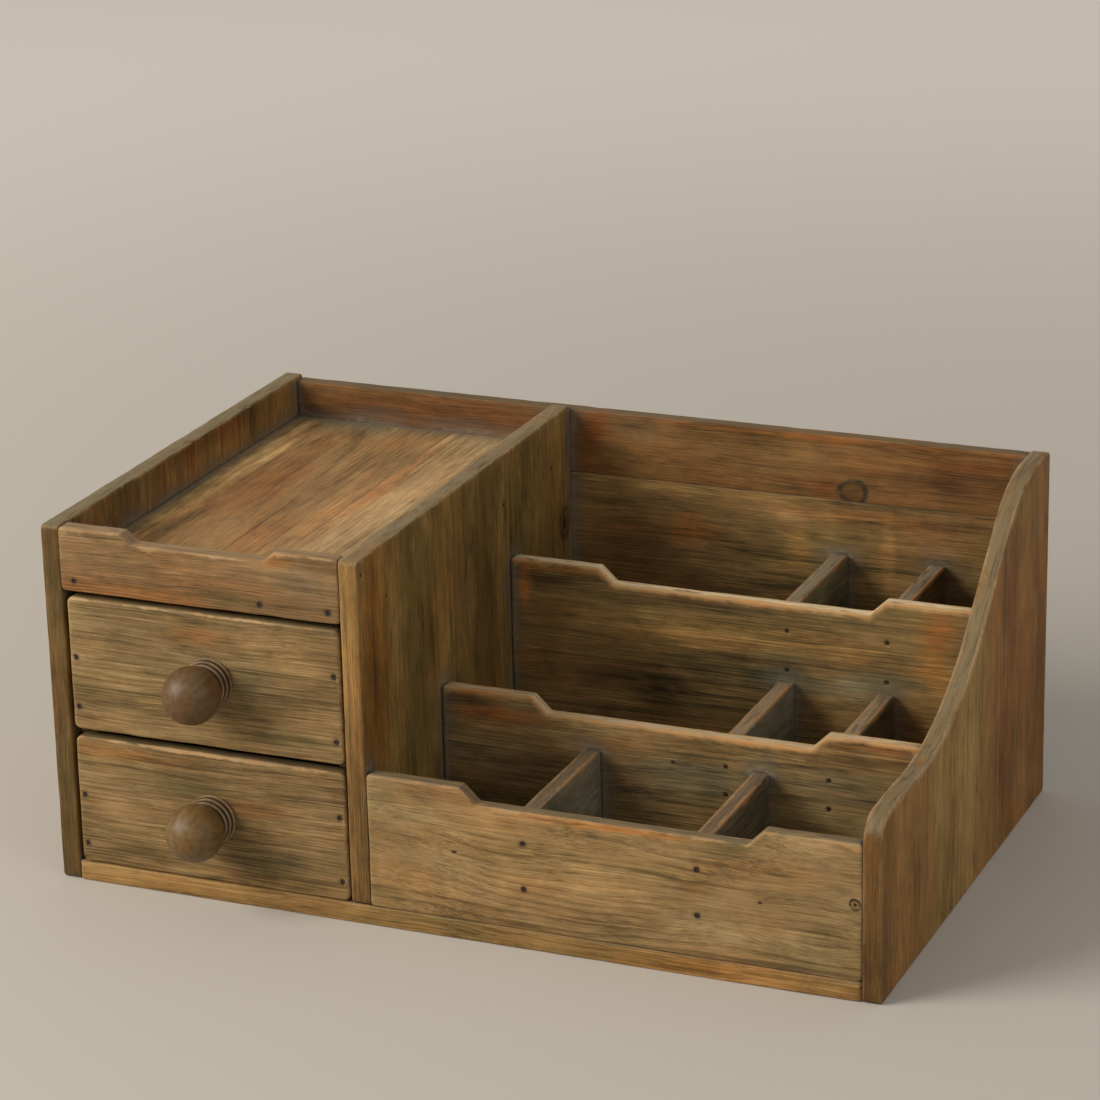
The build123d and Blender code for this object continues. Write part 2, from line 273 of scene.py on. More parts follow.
def trace(corners, spacing):
    """Points along a closed outline, about that far apart, with its corners rounded by arcs."""
    arcs = []
    for i, (u, v, radius) in enumerate(corners):
        here = np.array((u, v))
        before = np.array(corners[i - 1][:2]) - here
        after = np.array(corners[(i + 1) % len(corners)][:2]) - here
        before /= norm(before)
        after /= norm(after)
        half = math.acos(before @ after) / 2
        turn = math.pi - 2 * half
        bisector = (before + after) / norm(before + after)
        centre = here + bisector * radius / math.sin(half)
        start = here + before * radius / math.tan(half) - centre
        end = here + after * radius / math.tan(half) - centre
        steps = max(4, math.ceil(turn * radius / spacing))
        shares = np.linspace(0, 1, steps + 1)[:, None]
        swing = np.sin((1 - shares) * turn) * start + np.sin(shares * turn) * end
        arcs.append(centre + swing / math.sin(turn))
    points = []
    for i, arc in enumerate(arcs):
        points.extend(arc)
        run = arcs[(i + 1) % len(arcs)][0] - arc[-1]
        steps = int(norm(run) / spacing)
        points.extend(arc[-1] + run * k / steps for k in range(1, steps))
    return np.array(points)


def inward_of(outline):
    """Unit normals of a counterclockwise outline, towards its inside."""
    tangent = np.roll(outline, -1, 0) - np.roll(outline, 1, 0)
    tangent /= norm(tangent, axis=1)[:, None]
    return np.stack((-tangent[:, 1], tangent[:, 0]), 1)


def rim_distance(points, outline):
    """Distance from each point to an outline, negative outside it."""
    best = np.full(len(points), np.inf)
    inside = np.zeros(len(points), bool)
    for here, run in zip(outline, np.roll(outline, -1, 0) - outline):
        share = np.clip((points - here) @ run / (run @ run), 0, 1)
        best = np.minimum(best, norm(points - here - share[:, None] * run, axis=1))
        there = here + run
        if here[1] != there[1]:
            crosses = (here[1] > points[:, 1]) != (there[1] > points[:, 1])
            at = here[0] + (points[:, 1] - here[1]) * run[0] / run[1]
            inside ^= crosses & (points[:, 0] < at)
    return np.where(inside, best, -best)


def facing_up(points, outline, inward, upward):
    """How far the nearest stretch of an outline faces up, from 0 to 1, for each point."""
    tree = kdtree.KDTree(len(outline))
    for index, place in enumerate(outline):
        tree.insert((*place, 0), index)
    tree.balance()
    nearest = [tree.find((*place, 0))[1] for place in points]
    return np.clip(-inward[nearest] @ upward, 0, 1)


def face_points(outline, inward, margin, nails):
    """Points inside a face: rings along its rim, a grid in its middle and rings round its nails."""
    nails = np.array(nails).reshape(-1, 2)
    groups = []
    for inset in ring_insets:
        ring = outline[::2] + inward[::2] * inset
        groups.append(ring[rim_distance(ring, outline) > ring_keep * inset])
    low, high = outline.min(0), outline.max(0)
    axes = [np.linspace(a, b, max(2, round((b - a) / face_spacing)) + 1) for a, b in zip(low, high)]
    grid = np.stack(np.meshgrid(*axes), -1).reshape(-1, 2)
    groups.append(grid[rim_distance(grid, outline) > face_margin])
    points = np.concatenate(groups)
    for nail in nails:
        points = points[norm(points - nail, axis=1) > nail_keep_off]
    for nail in nails:
        for radius, count in nail_rings:
            angles = np.arange(count) * math.tau / count
            points = np.concatenate((points, nail + radius * np.stack((np.cos(angles), np.sin(angles)), 1)))
    return points[rim_distance(points, outline) > margin]


def fill(ring, inner):
    """Triangles that fill a ring of points, with points inside it."""
    count = len(ring)
    edges = [(i, (i + 1) % count) for i in range(count)]
    points = [Vector(p) for p in (*ring, *inner)]
    found = geometry.delaunay_2d_cdt(points, edges, [], 1, 1e-5)
    faces, origins = found[2], found[3]
    return [[origins[i][0] for i in face] for face in faces]


def arris_row(radius, angle):
    """A row of points on an arris's arc: inset, depth, distance from the arris, and share of the rim."""
    turn = math.radians(angle)
    away = abs(angle - 45) / 90 * math.pi / 2
    return radius * (1 - math.sin(turn)), radius * (1 - math.cos(turn)), radius * away, angle / 90


def rim_rows(rounds, thickness):
    """Rows of points round a board, from its low face over both arrises to its high face."""
    rows = [arris_row(rounds[:, 0], angle) for angle in arris_angles]
    middle = np.full(len(rounds), thickness / 2)
    rows.append((0 * middle, middle, middle, 1))
    for angle in reversed(arris_angles):
        inset, depth, edge, on_rim = arris_row(rounds[:, 1], angle)
        rows.append((inset, thickness - depth, edge, on_rim))
    return rows


def worn_outline(corners, wear, seed):
    """A dented outline, its inward normals, and the radii of its two arrises at each point."""
    outline = trace(corners, rim_spacing)
    inward = inward_of(outline)
    dents = []
    rounds = []
    for place in outline:
        dent = wander((*place, 0), rim_dent_length, seed)
        dents.append(rim_dent * max(0, dent - rim_dent_share) ** rim_dent_power)
        sides = [(*place, arris_step * side) for side in (1, 2)]
        rounds.append([wander(side, arris_length, seed + arris_seed_step) for side in sides])
    outline = outline + inward * np.array(dents)[:, None]
    return outline, inward, wear[0] + (wear[1] - wear[0]) * np.array(rounds)


def board_mesh(node, corners, axes, wear, seed, filled=()):
    """A worn board in place of a solid: its outline in two axes, through its thickness in the third."""
    u, v, t = axes
    low, high = box_mm(node)
    thickness = high[t] - low[t]
    outline, inward, rounds = worn_outline(corners, wear, seed)
    rows = rim_rows(rounds, thickness)
    points, arris, rim, nail, faces = [], [], [], [], []

    def put(flat, depth, edge, on_rim, nails):
        """Add a row or a face of points, with what the material reads at each of them."""
        into = np.where(depth < thickness / 2, 1, -1)
        near = np.full(len(flat), far_away)
        for spot in nails:
            near = np.minimum(near, norm(flat - spot, axis=1))
        if on_rim < 1:
            waves = [wander((*p, face_step * side), face_wave_length, seed) for p, side in zip(flat, into)]
            depth = depth + into * face_wave * np.array(waves)
        place = np.zeros((len(flat), 3))
        place[:, u], place[:, v] = flat[:, 0], flat[:, 1]
        place[:, t] = low[t] + depth + into * np.interp(near, nail_dimple_reach, nail_dimple_depth)
        points.extend(place)
        arris.extend(np.broadcast_to(edge, len(flat)))
        rim.extend(np.broadcast_to(on_rim, len(flat)))
        nail.extend(near)

    count = len(outline)
    for inset, depth, edge, on_rim in rows:
        put(outline + inward * inset[:, None], depth, edge, on_rim, [])
    for row in range(len(rows) - 1):
        for i in range(count):
            j = (i + 1) % count
            faces.append((row * count + i, row * count + j, (row + 1) * count + j, (row + 1) * count + i))

    for side, outward, first in ((0, -1, 0), (1, 1, (len(rows) - 1) * count)):
        level = (low[t], high[t])[side]
        nails = [place[[u, v]] for place in nails_on(t, outward, level, filled)]
        nails = [spot for spot in nails if rim_distance(np.array([spot]), outline)[0] > 0]
        ring = outline + inward * rounds[:, side][:, None]
        inner = face_points(outline, inward, wear[1] + arris_margin, nails)
        start = len(points)
        edge = rim_distance(inner, outline) - arris_margin * (wear[0] + wear[1]) / 2
        put(inner, np.full(len(inner), thickness * side), edge, 0, nails)
        index = [*range(first, first + count), *range(start, start + len(inner))]
        for face in fill(ring, inner):
            faces.append([index[i] for i in face])

    mesh = bpy.data.meshes.new(node)
    mesh.from_pydata([Vector(p) * MM for p in points], [], faces)
    close_up(mesh)
    points = np.array(points)
    upward = np.array((u == Z, v == Z), float)
    crown = facing_up(points[:, [u, v]], outline, inward, upward)
    return mesh, points, {"arris": arris, "rim": rim, "nail": nail, "crown": crown}


def close_up(mesh, weld=0.0):
    """Turn a mesh's faces outwards and shade it smooth, once points that coincide are welded."""
    shell = bmesh.new()
    shell.from_mesh(mesh)
    if weld:
        bmesh.ops.remove_doubles(shell, verts=shell.verts, dist=weld * MM)
    bmesh.ops.recalc_face_normals(shell, faces=shell.faces)
    shell.to_mesh(mesh)
    shell.free()
    mesh.shade_smooth()


def store(mesh, name, values):
    """Keep a number, or a vector, for each point of a mesh."""
    values = np.asarray(values, np.float32)
    kind = "FLOAT_VECTOR" if values.ndim == 2 else "FLOAT"
    data = mesh.attributes.new(name, kind, "POINT").data
    data.foreach_set("vector" if values.ndim == 2 else "value", values.ravel())


# Material nodes
class Tree:
    """A node tree, with short calls for the nodes that the materials are made of."""

    def __init__(self, tree):
        self.tree = tree

    def node(self, kind, **settings):
        """A new node with its settings."""
        made = self.tree.nodes.new(kind)
        for name, value in settings.items():
            setattr(made, name, value)
        return made

    def feed(self, socket, value):
        """Link a socket to another one, or set its value."""
        if isinstance(value, bpy.types.NodeSocket):
            self.tree.links.new(value, socket)
        elif socket.type == "RGBA":
            socket.default_value = (*value, 1)
        else:
            socket.default_value = value

    def feed_all(self, sockets, values):
        """Feed several sockets, found by their names."""
        for name, value in values.items():
            self.feed(sockets[name], value)

    def attribute(self, name, vector=False):
        """What the mesh keeps at each point under that name."""
        made = self.node("ShaderNodeAttribute", attribute_name=name)
        return made.outputs["Vector" if vector else "Fac"]

    def math(self, operation, *values, clamp=False):
        made = self.node("ShaderNodeMath", operation=operation, use_clamp=clamp)
        for socket, value in zip(made.inputs, values):
            self.feed(socket, value)
        return made.outputs[0]

    def times(self, first, *others):
        """Product of several values."""
        for other in others:
            first = self.math("MULTIPLY", first, other)
        return first

    def plus(self, value, factor, base):
        """The base with a share of a value added to it."""
        return self.math("MULTIPLY_ADD", value, factor, base)

    def vector(self, operation, *values):
        made = self.node("ShaderNodeVectorMath", operation=operation)
        for socket, value in zip(made.inputs, values):
            self.feed(socket, value)
        return made.outputs["Value" if operation == "LENGTH" else "Vector"]

    def scaled(self, vector, factor):
        made = self.node("ShaderNodeVectorMath", operation="SCALE")
        self.feed(made.inputs[0], vector)
        self.feed(made.inputs["Scale"], factor)
        return made.outputs[0]

    def noise(self, place, lengths, detail=3.0, roughness=0.55, shift=None):
        """Noise from 0 to 1 whose features are about as long as the given lengths, in millimetres."""
        if shift:
            place = self.vector("ADD", place, shift)
        made = self.node("ShaderNodeTexNoise")
        self.feed(made.inputs["Vector"], self.vector("MULTIPLY", place, [1 / n for n in lengths]))
        self.feed_all(made.inputs, {"Scale": 1, "Detail": detail, "Roughness": roughness})
        return made.outputs["Fac"]

    def stray(self, *facts):
        """The same noise, round zero."""
        return self.math("SUBTRACT", self.noise(*facts), 0.5)

    def step(self, value, low, high):
        """Smooth step from 0 at low to 1 at high; low may be the larger."""
        made = self.node("ShaderNodeMapRange", interpolation_type="SMOOTHSTEP")
        self.feed_all(made.inputs, {"Value": value, "From Min": low, "From Max": high})
        return made.outputs["Result"]

    def mix(self, factor, first, second, blend="MIX"):
        made = self.node("ShaderNodeMix", data_type="RGBA", blend_type=blend)
        self.feed(made.inputs[0], factor)
        self.feed(made.inputs[6], first)
        self.feed(made.inputs[7], second)
        return made.outputs[2]

    def tint(self, colour, tone):
        """A colour seen through a filter."""
        return self.mix(1, colour, tone, "MULTIPLY")

    def bump(self, height, strength, distance):
        """Normals of a rough surface, from its height; the distance is in millimetres."""
        made = self.node("ShaderNodeBump")
        self.feed_all(made.inputs, {"Strength": strength, "Distance": distance * MM, "Height": height})
        return made.outputs[0]

    def group(self, group, **values):
        made = self.node("ShaderNodeGroup", node_tree=group)
        self.feed_all(made.inputs, values)
        return made.outputs


def new_group(name, inputs, outputs):
    """An empty node group with its sockets: returns the group, its tree and its two end nodes."""
    group = bpy.data.node_groups.new(name, "ShaderNodeTree")
    kinds = {"value": "NodeSocketFloat", "vector": "NodeSocketVector", "colour": "NodeSocketColor"}
    for way, sockets in (("INPUT", inputs), ("OUTPUT", outputs)):
        for label, kind in sockets.items():
            group.interface.new_socket(label, in_out=way, socket_type=kinds[kind])
    tree = Tree(group)
    return group, tree, tree.node("NodeGroupInput").outputs, tree.node("NodeGroupOutput").inputs


# What a board's look may set, with the values of a plain board
BODY_LOOK = {"stain": 0.5, "red": 0.3, "rings": 0.25, "ring_pitch": 5.0, "streaks": 1.0, "sway": 9.0}
# Settings of the aged surface and its painted light: the wear colour, width and amount set worn arrises that
# are partly a painted highlight, and the dust amount sets a corner band that is partly painted shade
AGE_AND_LIGHT_TINTS = {"rim_colour": rim_olive, "edge_tint": WHITE, "wear_colour": worn_cream_and_highlight}
AGE_AND_LIGHT_LOOK = {"rim": 0.7, "wear": 0.4, "wear_width": 1.2, "dust_and_shade": 0.7, "nail_share": 1.0}
PLAIN_LOOK = {"shade": WHITE, "patches": (), "knots": (), **BODY_LOOK, **AGE_AND_LIGHT_TINTS, **AGE_AND_LIGHT_LOOK}


def wood_body_group():
    """Grain of a stained softwood board: bands, streaks, fibres, growth rings, stains and reddish areas."""
    group, tree, given, result = new_group(
        "wood_body",
        {
            "seed": "vector",
            **dict.fromkeys(TONES, "colour"),
            **dict.fromkeys(BODY_LOOK, "value"),
        },
        {"colour": "colour", "height": "value"},
    )
    place = tree.vector("ADD", tree.attribute("grain", vector=True), given["seed"])
    aside = tree.times(tree.stray(place, (150, 45, 45), 2), given["sway"])
    bent = tree.vector("ADD", place, tree.scaled((0, 1, 1), aside))

    clouds = tree.stray(place, (55, 24, 24), 5, 0.6)
    bands = tree.stray(bent, (240, 12, 12), 3)
    streaks = tree.stray(bent, (240, 1.7, 1.7), 3, 0.6)
    fibres = tree.stray(bent, (130, 0.7, 0.7), 3, 0.65)
    hairs = tree.stray(bent, (20, 0.4, 0.4), 3, 0.65)

    # Growth rings round a pith that lies under the board
    parts = tree.node("ShaderNodeSeparateXYZ")
    tree.feed(parts.inputs[0], bent)
    depth = tree.plus(parts.outputs[0], 0.05, parts.outputs[2])
    depth = tree.math("ADD", tree.math("PINGPONG", depth, 22), 16)
    across = tree.math("PINGPONG", parts.outputs[1], 70)
    radius = tree.math("SQRT", tree.math("ADD", tree.math("POWER", across, 2), tree.math("POWER", depth, 2)))
    turn = tree.math("FRACT", tree.math("DIVIDE", radius, given["ring_pitch"]))
    late = tree.times(tree.step(turn, 0.35, 0.88), tree.step(turn, 1.0, 0.93))
    late = tree.times(late, tree.step(tree.noise(place, (90, 22, 22), 3), 0.42, 0.68))

    tone = tree.plus(clouds, 1.3, 0.5)
    tone = tree.plus(bands, 0.6, tone)
    tone = tree.plus(tree.times(streaks, 0.55), given["streaks"], tone)
    tone = tree.plus(tree.times(fibres, 1.35), given["streaks"], tone)
    tone = tree.plus(hairs, 1.3, tone)
    tone = tree.math("SUBTRACT", tone, tree.times(late, given["rings"]))
    colour = tree.mix(tree.step(tone, 0.54, 0.0), given["mid"], given["dark"])
    colour = tree.mix(tree.step(tone, 0.46, 1.0), colour, given["pale"])

    scuffs = tree.noise(bent, (120, 0.7, 0.7), 3, 0.65, (57, 19, 233))
    scuffs = tree.times(tree.step(scuffs, 0.6, 0.74), given["streaks"])
    colour = tree.mix(tree.times(scuffs, 0.5), colour, given["pale"])
    pores = tree.noise(bent, (13, 0.6, 0.6), 3, 0.65, (421, 77, 9))
    pores = tree.step(pores, 0.6, 0.74)
    colour = tree.mix(tree.times(pores, 0.4), colour, given["dark"])

    ragged = tree.plus(streaks, 0.25, tree.times(fibres, 0.35))
    reds = tree.noise(place, (70, 22, 22), 5, 0.6, (311, 57, 23))
    reds = tree.math("ADD", reds, ragged)
    greens = tree.times(tree.step(reds, 0.5, 0.3), given["red"])
    reds = tree.times(tree.step(reds, 0.48, 0.68), given["red"])
    colour = tree.mix(reds, colour, tree.tint(colour, REDDEN))
    colour = tree.mix(greens, colour, tree.tint(colour, GREEN))

    blots = tree.noise(place, (75, 20, 20), 6, 0.62, (91, 713, 41))
    blots = tree.math("SUBTRACT", blots, ragged)
    blots = tree.times(tree.step(blots, 0.46, 0.74), given["stain"])
    colour = tree.mix(blots, colour, tree.tint(colour, BLOT))
    tree.feed(result["colour"], colour)

    height = tree.plus(hairs, 0.45, tree.times(fibres, 0.7))
    height = tree.plus(pores, -0.4, height)
    tree.feed(result["height"], tree.plus(late, 0.2, height))
    return group


SPOT = {"colour": "colour", "centre": "vector", "shares": "vector"}


def spot_distance(tree, given):
    """Place on a board, and its distance from a spot's centre as a share of the spot's half size."""
    place = tree.attribute("grain", vector=True)
    away = tree.vector("MULTIPLY", tree.vector("SUBTRACT", place, given["centre"]), given["shares"])
    return place, tree.vector("LENGTH", away)


def wood_patch_group():
    """A patch of another tone, soft and broken along the grain: it filters the colour under it."""
    inputs = {**SPOT, "filter": "colour", "strength": "value"}
    group, tree, given, result = new_group("wood_patch", inputs, {"colour": "colour"})
    place, away = spot_distance(tree, given)
    far = tree.plus(tree.stray(place, (40, 2.2, 2.2), 4, 0.6), 0.9, away)
    far = tree.plus(tree.stray(place, (22, 12, 12), 5, 0.62), 1.5, far)
    amount = tree.times(tree.step(far, 1.2, 0.1), given["strength"])
    filtered = tree.tint(given["colour"], given["filter"])
    tree.feed(result["colour"], tree.mix(amount, given["colour"], filtered))
    return group


def wood_knot_group():
    """A knot or speck: a broken dark ring round a warm heart, and a dark pip in its middle."""
    inputs = {**SPOT, "ring": "value", "pip": "value"}
    group, tree, given, result = new_group("wood_knot", inputs, {"colour": "colour"})
    place, away = spot_distance(tree, given)
    far = tree.plus(tree.stray(place, (7, 7, 7), 3, 0.6), 0.7, away)
    heart = tree.tint(given["colour"], HEART)
    inside = tree.times(tree.step(far, 1.0, 0.7), given["ring"])
    colour = tree.mix(inside, given["colour"], heart)
    broken = tree.step(tree.noise(place, (11, 4, 4), 3, 0.6), 0.28, 0.52)
    ring = tree.times(tree.step(far, 0.66, 0.92), tree.step(far, 1.36, 1.02), broken, given["ring"])
    pip = tree.times(tree.step(far, 0.5, 0.2), given["pip"])
    colour = tree.mix(tree.math("MAXIMUM", ring, pip), colour, soot_and_shade)
    tree.feed(result["colour"], colour)
    return group


def wood_age_and_painted_light_group():
    """Use and age on a board, with painted light: stained end faces, dust and painted shade in the inner
    corners, worn arrises with a painted highlight, and nail stains.
    """
    group, tree, given, result = new_group(
        "wood_age_and_painted_light",
        {
            "colour": "colour",
            "height": "value",
            "seed": "vector",
            **dict.fromkeys(AGE_AND_LIGHT_TINTS, "colour"),
            **dict.fromkeys(AGE_AND_LIGHT_LOOK, "value"),
        },
        {"colour": "colour", "roughness": "value", "normal": "vector"},
    )
    place = tree.vector("ADD", tree.attribute("grain", vector=True), given["seed"])
    specks = tree.noise(place, (4, 2, 2), 5, 0.65)
    clouds = tree.noise(place, (34, 20, 20), 4, 0.6, (17, 5, 71))
    chips = tree.noise(place, (17, 17, 4), 5, 0.62, (5, 91, 37))
    lines = tree.noise(place, (24, 24, 0.9), 4, 0.62)
    mottle = tree.noise(place, (11, 6, 6), 6, 0.7, (63, 29, 11))
    colour = tree.mix(tree.step(mottle, 0.52, 0.26), given["colour"], MOTTLE_DARK, "MULTIPLY")
    colour = tree.mix(tree.step(mottle, 0.5, 0.74), colour, MOTTLE_PALE, "MULTIPLY")
    stray_specks = tree.math("SUBTRACT", specks, 0.5)
    stray_clouds = tree.math("SUBTRACT", clouds, 0.5)
    stray_chips = tree.math("SUBTRACT", chips, 0.5)

    # Stained end faces and edges
    on_rim = tree.step(tree.attribute("rim"), 0.3, 1.0)
    on_top = tree.times(on_rim, tree.step(tree.attribute("up"), 0.25, 0.7))
    colour = tree.mix(on_rim, colour, tree.tint(colour, given["edge_tint"]))
    shaded = tree.tint(given["rim_colour"], RIM_SHADE)
    rim_tone = tree.mix(tree.step(lines, 0.44, 0.7), given["rim_colour"], shaded)
    rim_tone = tree.mix(tree.step(chips, 0.54, 0.7), rim_tone, given["colour"])
    rim_tone = tree.mix(tree.times(tree.step(chips, 0.42, 0.26), 0.6), rim_tone, soot_and_shade)
    colour = tree.mix(tree.times(on_top, given["rim"]), colour, rim_tone)

    # Dust and painted shade in the inner corners: a grey band that is partly dust and partly painted shade,
    # a pale dust line, and painted shade along the seam at their bottom
    corner = tree.attribute("corner")
    # Grey band near the inner corners: partly dust, partly painted shade
    corner_dust_and_shade = tree.times(tree.step(tree.plus(stray_clouds, 18, corner), 10, 0), given["dust_and_shade"])
    colour = tree.mix(tree.times(corner_dust_and_shade, 0.7), colour, dust_and_shade)
    line = tree.step(tree.plus(stray_clouds, 7, corner), 3.6, 0.4)
    line = tree.times(line, tree.step(specks, 0.36, 0.6), given["dust_and_shade"], 0.7)
    colour = tree.mix(line, colour, pale_dust)
    # Painted shade: near-black along the seam at the bottom of each inner corner
    colour = tree.mix(tree.times(tree.step(corner, 1.4, 0.2), 0.4), colour, soot_and_shade)

    # Worn arrises, most of all those on top: a pale band that is partly bare wood and partly a painted
    # highlight
    arris = tree.plus(stray_specks, 2.6, tree.attribute("arris"))
    arris = tree.math("DIVIDE", tree.plus(stray_chips, 6.0, arris), given["wear_width"])
    kept = tree.plus(given["wear"], 0.28, clouds)
    upward_share = tree.plus(tree.attribute("crown"), 0.7, 0.3)
    worn_and_highlighted = tree.times(tree.step(arris, 1.0, 0.1), tree.step(kept, 0.5, 0.7), upward_share, given["wear"])
    reddened = tree.tint(given["wear_colour"], REDDEN)
    bare_and_highlighted = tree.mix(tree.step(mottle, 0.35, 0.65), reddened, given["wear_colour"])
    colour = tree.mix(worn_and_highlighted, colour, bare_and_highlighted)

    # Rust round the nails
    nail = tree.plus(stray_specks, 1.3, tree.attribute("nail"))
    nail = tree.math("DIVIDE", nail, given["nail_share"])
    colour = tree.mix(tree.times(tree.step(nail, 3.0, 1.0), 0.4), colour, rust_black)
    colour = tree.mix(tree.step(nail, 1.55, 1.0), colour, rust_black)
    tree.feed(result["colour"], colour)

    rough = tree.plus(stray_clouds, 0.3, 0.6)
    rough = tree.plus(corner_dust_and_shade, 0.15, rough)
    tree.feed(result["roughness"], tree.math("MULTIPLY_ADD", worn_and_highlighted, -0.08, rough, clamp=True))
    height = tree.plus(specks, 0.25, given["height"])
    tree.feed(result["normal"], tree.bump(height, 0.5, 0.25))
    return group


WOOD_BODY = wood_body_group()
WOOD_PATCH = wood_patch_group()
WOOD_KNOT = wood_knot_group()
WOOD_AGE_AND_PAINTED_LIGHT = wood_age_and_painted_light_group()


def new_material(name):
    """A material with an empty shader: returns it, its tree and the shader's inputs."""
    material = bpy.data.materials.new(name)
    material.use_nodes = True
    material.node_tree.nodes.clear()
    tree = Tree(material.node_tree)
    shader = tree.node("ShaderNodeBsdfPrincipled")
    end = tree.node("ShaderNodeOutputMaterial")
    tree.feed(end.inputs["Surface"], shader.outputs[0])
    return material, tree, shader.inputs


def add_spot(tree, group, colour, along, across, half_long, half_wide, **facts):
    """A colour with a patch or a knot laid over it."""
    centre = (along, across, 0)
    shares = (1 / half_long, 1 / half_wide, 0)
    return tree.group(group, colour=colour, centre=centre, shares=shares, **facts)["colour"]


def wood(name, seed, look):
    """Material of one board."""
    look = {**PLAIN_LOOK, **look}
    material, tree, shader = new_material(name)
    offset = [seed * step for step in grain_steps]
    tones = dict(zip(TONES, np.array(PALETTES[look["palette"]]) * look["shade"]))
    body = tree.group(WOOD_BODY, seed=offset, **tones, **{key: look[key] for key in BODY_LOOK})
    colour = body["colour"]
    for *place, tone, strength in look["patches"]:
        colour = add_spot(tree, WOOD_PATCH, colour, *place, filter=tone, strength=strength)
    for *place, ring, pip in look["knots"]:
        colour = add_spot(tree, WOOD_KNOT, colour, *place, ring=ring, pip=pip)
    age_and_light = {key: look[key] for key in (*AGE_AND_LIGHT_TINTS, *AGE_AND_LIGHT_LOOK)}
    aged_and_lit = tree.group(WOOD_AGE_AND_PAINTED_LIGHT, colour=colour, height=body["height"], seed=offset, **age_and_light)
    tree.feed_all(shader, {
        "Base Color": aged_and_lit["colour"],
        "Roughness": aged_and_lit["roughness"],
        "Normal": aged_and_lit["normal"],
        "Specular IOR Level": board_gloss,
    })
    return material


def knob_material(name, tint):
    """Turned wood, handled smooth: mottled brown and grey, with painted shade in the grooves and pale bead
    crests that are partly worn wood and partly a painted highlight.
    """
    material, tree, shader = new_material(name)
    place = tree.attribute("grain", vector=True)
    grain = tree.noise(place, (30, 2.4, 2.4), 4, 0.6)
    mottle = tree.noise(place, (20, 11, 11), 4, 0.55)
    specks = tree.noise(place, (2.2, 2.2, 2.2), 4, 0.65)
    colour = tree.mix(tree.step(grain, 0.3, 0.7), turned_dark, turned_pale)
    colour = tree.mix(tree.step(mottle, 0.52, 0.75), colour, turned_grey)
    colour = tree.mix(tree.step(mottle, 0.46, 0.28), colour, turned_red)
    colour = tree.mix(tree.times(tree.step(specks, 0.62, 0.78), 0.3), colour, turned_speck)
    colour = tree.tint(colour, tint)
    # Painted shade in the grooves between the beads
    groove = tree.step(tree.attribute("groove"), 0.1, 0.6)
    colour = tree.mix(groove, colour, groove_painted_shade)
    # Pale bead crests: partly worn wood, partly a painted highlight
    worn_and_highlighted = tree.times(tree.attribute("crest"), tree.step(mottle, 0.35, 0.6))
    colour = tree.mix(tree.times(worn_and_highlighted, 0.7), colour, crest_worn_and_highlighted)
    tree.feed_all(shader, {
        "Base Color": colour,
        "Roughness": tree.plus(groove, 0.4, tree.plus(mottle, 0.25, 0.34)),
        "Normal": tree.bump(tree.plus(specks, 0.4, grain), 0.3, 0.2),
        "Specular IOR Level": knob_gloss,
    })
    return material


def steel_material():
    """Nails and screws: dull dark steel with rust."""
    material, tree, shader = new_material("rusted_steel")
    place = tree.scaled(tree.node("ShaderNodeTexCoord").outputs["Object"], 1 / MM)
    rust = tree.noise(place, (1.4, 1.4, 1.4), 5, 0.65)
    tree.feed_all(shader, {
        "Base Color": tree.mix(tree.step(rust, 0.4, 0.62), steel_dark, steel_rust),
        "Roughness": tree.plus(rust, 0.4, 0.4),
        "Normal": tree.bump(rust, 0.3, 0.1),
        "Metallic": steel_metal,
    })
    return material


# Boards: the palette and age of each. A patch is its place along and across the grain, its half sizes, its
# filter and its strength; a knot is its place, its half sizes, and the strengths of its ring and its pip.
PANEL = {"grain": Z, "slot": "stained_wood"}
LENGTHWISE = {"grain": X, "slot": "stained_wood"}
INWARDS = {"grain": Y, "slot": "stained_wood"}
BACK_PLANK = {**LENGTHWISE, "wear": (0.25, 0.5), "corner": 0.8}
TRAY_FLOOR = {**INWARDS, "wear": (0.2, 0.4)}
STEP_BOARD = {**LENGTHWISE, "wear": (0.7, 1.5), "outline": functools.partial(notched, notch=step_notch)}
TRAY_FRONT = {**LENGTHWISE, "outline": functools.partial(notched, notch=tray_notch)}
RIGHT_PANEL = {**PANEL, "outline": swept, "filled": ("right_panel_nails",)}
DRAWER_FRONT = {"grain": X, "slot": "drawer_front_wood", "wear": (0.9, 1.7), "corner": 3.0}
DRAWER_BOX = {"grain": Y, "slot": "drawer_box_wood"}

